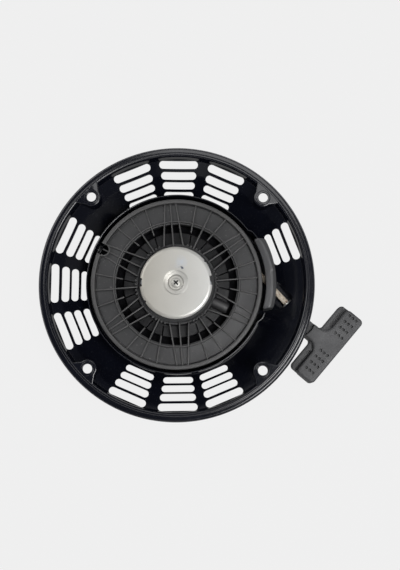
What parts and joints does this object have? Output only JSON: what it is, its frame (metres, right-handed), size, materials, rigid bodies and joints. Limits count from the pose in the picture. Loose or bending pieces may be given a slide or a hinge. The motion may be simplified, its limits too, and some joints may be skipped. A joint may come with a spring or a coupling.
{
  "type": "recoil starter",
  "caption": "Pull-cord recoil starter for a small engine: vented round case, rope reel with spring return, ratchet pawls under a pressed guide, and a T handle.",
  "frame": {"origin": "on the reel's axis, in the plane of the case's flat outer face, on which the part lies", "axes": "+Z along the reel's axis, out of the open engine side; +X and +Y in the plane of the flange, with the bolt holes on their diagonals and the rope leaving towards +X and -Y"},
  "size_m": [0.2661, 0.2268, 0.0474],
  "materials": {
    "case_paint": "gloss black stoved paint on pressed steel",
    "reel_plastic": "moulded glass-filled nylon, satin",
    "guide_plastic": "moulded plastic, smooth",
    "handle_plastic": "moulded grip plastic with small dimples",
    "zinc_plate": "zinc-plated pressed steel",
    "turned_steel": "plain steel, lightly oiled",
    "spring_steel": "blued spring steel",
    "rope": "braided cream cord with reddish flecks"
  },
  "bodies": {
    "case": {"case_cover": "case_paint", "guard_ring": "case_paint", "rope_eyelet": "zinc_plate", "rope_guide": "guide_plastic", "post_plate": "turned_steel", "centre_post": "turned_steel", "thrust_washer": "turned_steel", "centre_screw": "zinc_plate", "rope_run": "rope"},
    "reel": {"reel": "reel_plastic", "hub_bushing": "turned_steel", "rope_coil": "rope", "rope_knot": "rope", "return_spring": "spring_steel", "spring_retainer": "spring_steel", "pawl_spring_a": "spring_steel", "pawl_spring_b": "spring_steel"},
    "ratchet_guide": {"ratchet_guide": "zinc_plate", "friction_spring": "spring_steel"},
    "pawl_a": {"pawl_a": "turned_steel"},
    "pawl_b": {"pawl_b": "turned_steel"},
    "handle": {"handle_grip": "handle_plastic", "handle_knot": "rope", "handle_plug": "handle_plastic", "rope_tail": "rope"}
  },
  "joints": [
    {"name": "reel_spin", "type": "hinge", "parent": "case", "child": "reel", "pos_m": [0, 0, 0.027], "axis": [0, 0, -1], "range_deg": [0, 1260], "stiffness_Nm_per_rad": 0.03, "springref_deg": -229.18},
    {"name": "handle_pull", "type": "slide", "parent": "case", "child": "handle", "axis": [0.682, -0.7314, 0], "range_m": [0, 1.27]},
    {"name": "guide_turn", "type": "hinge", "parent": "reel", "child": "ratchet_guide", "pos_m": [0, 0, 0.045], "axis": [0, 0, 1], "range_deg": [0, 16], "stiffness_Nm_per_rad": 0.02},
    {"name": "pawl_a_swing", "type": "hinge", "parent": "reel", "child": "pawl_a", "pos_m": [0.0185, 0.0095, 0.0415], "axis": [0, 0, 1], "range_deg": [0, 30]},
    {"name": "pawl_b_swing", "type": "hinge", "parent": "reel", "child": "pawl_b", "pos_m": [-0.0185, -0.0095, 0.0415], "axis": [0, 0, 1], "range_deg": [0, 30]}
  ],
  "couplings": [
    {"joint": "handle_pull", "follows": "reel_spin", "m_per_rad": 0.0575},
    {"joint": "pawl_a_swing", "follows": "guide_turn", "ratio": 1.84},
    {"joint": "pawl_b_swing", "follows": "guide_turn", "ratio": 1.84}
  ]
}
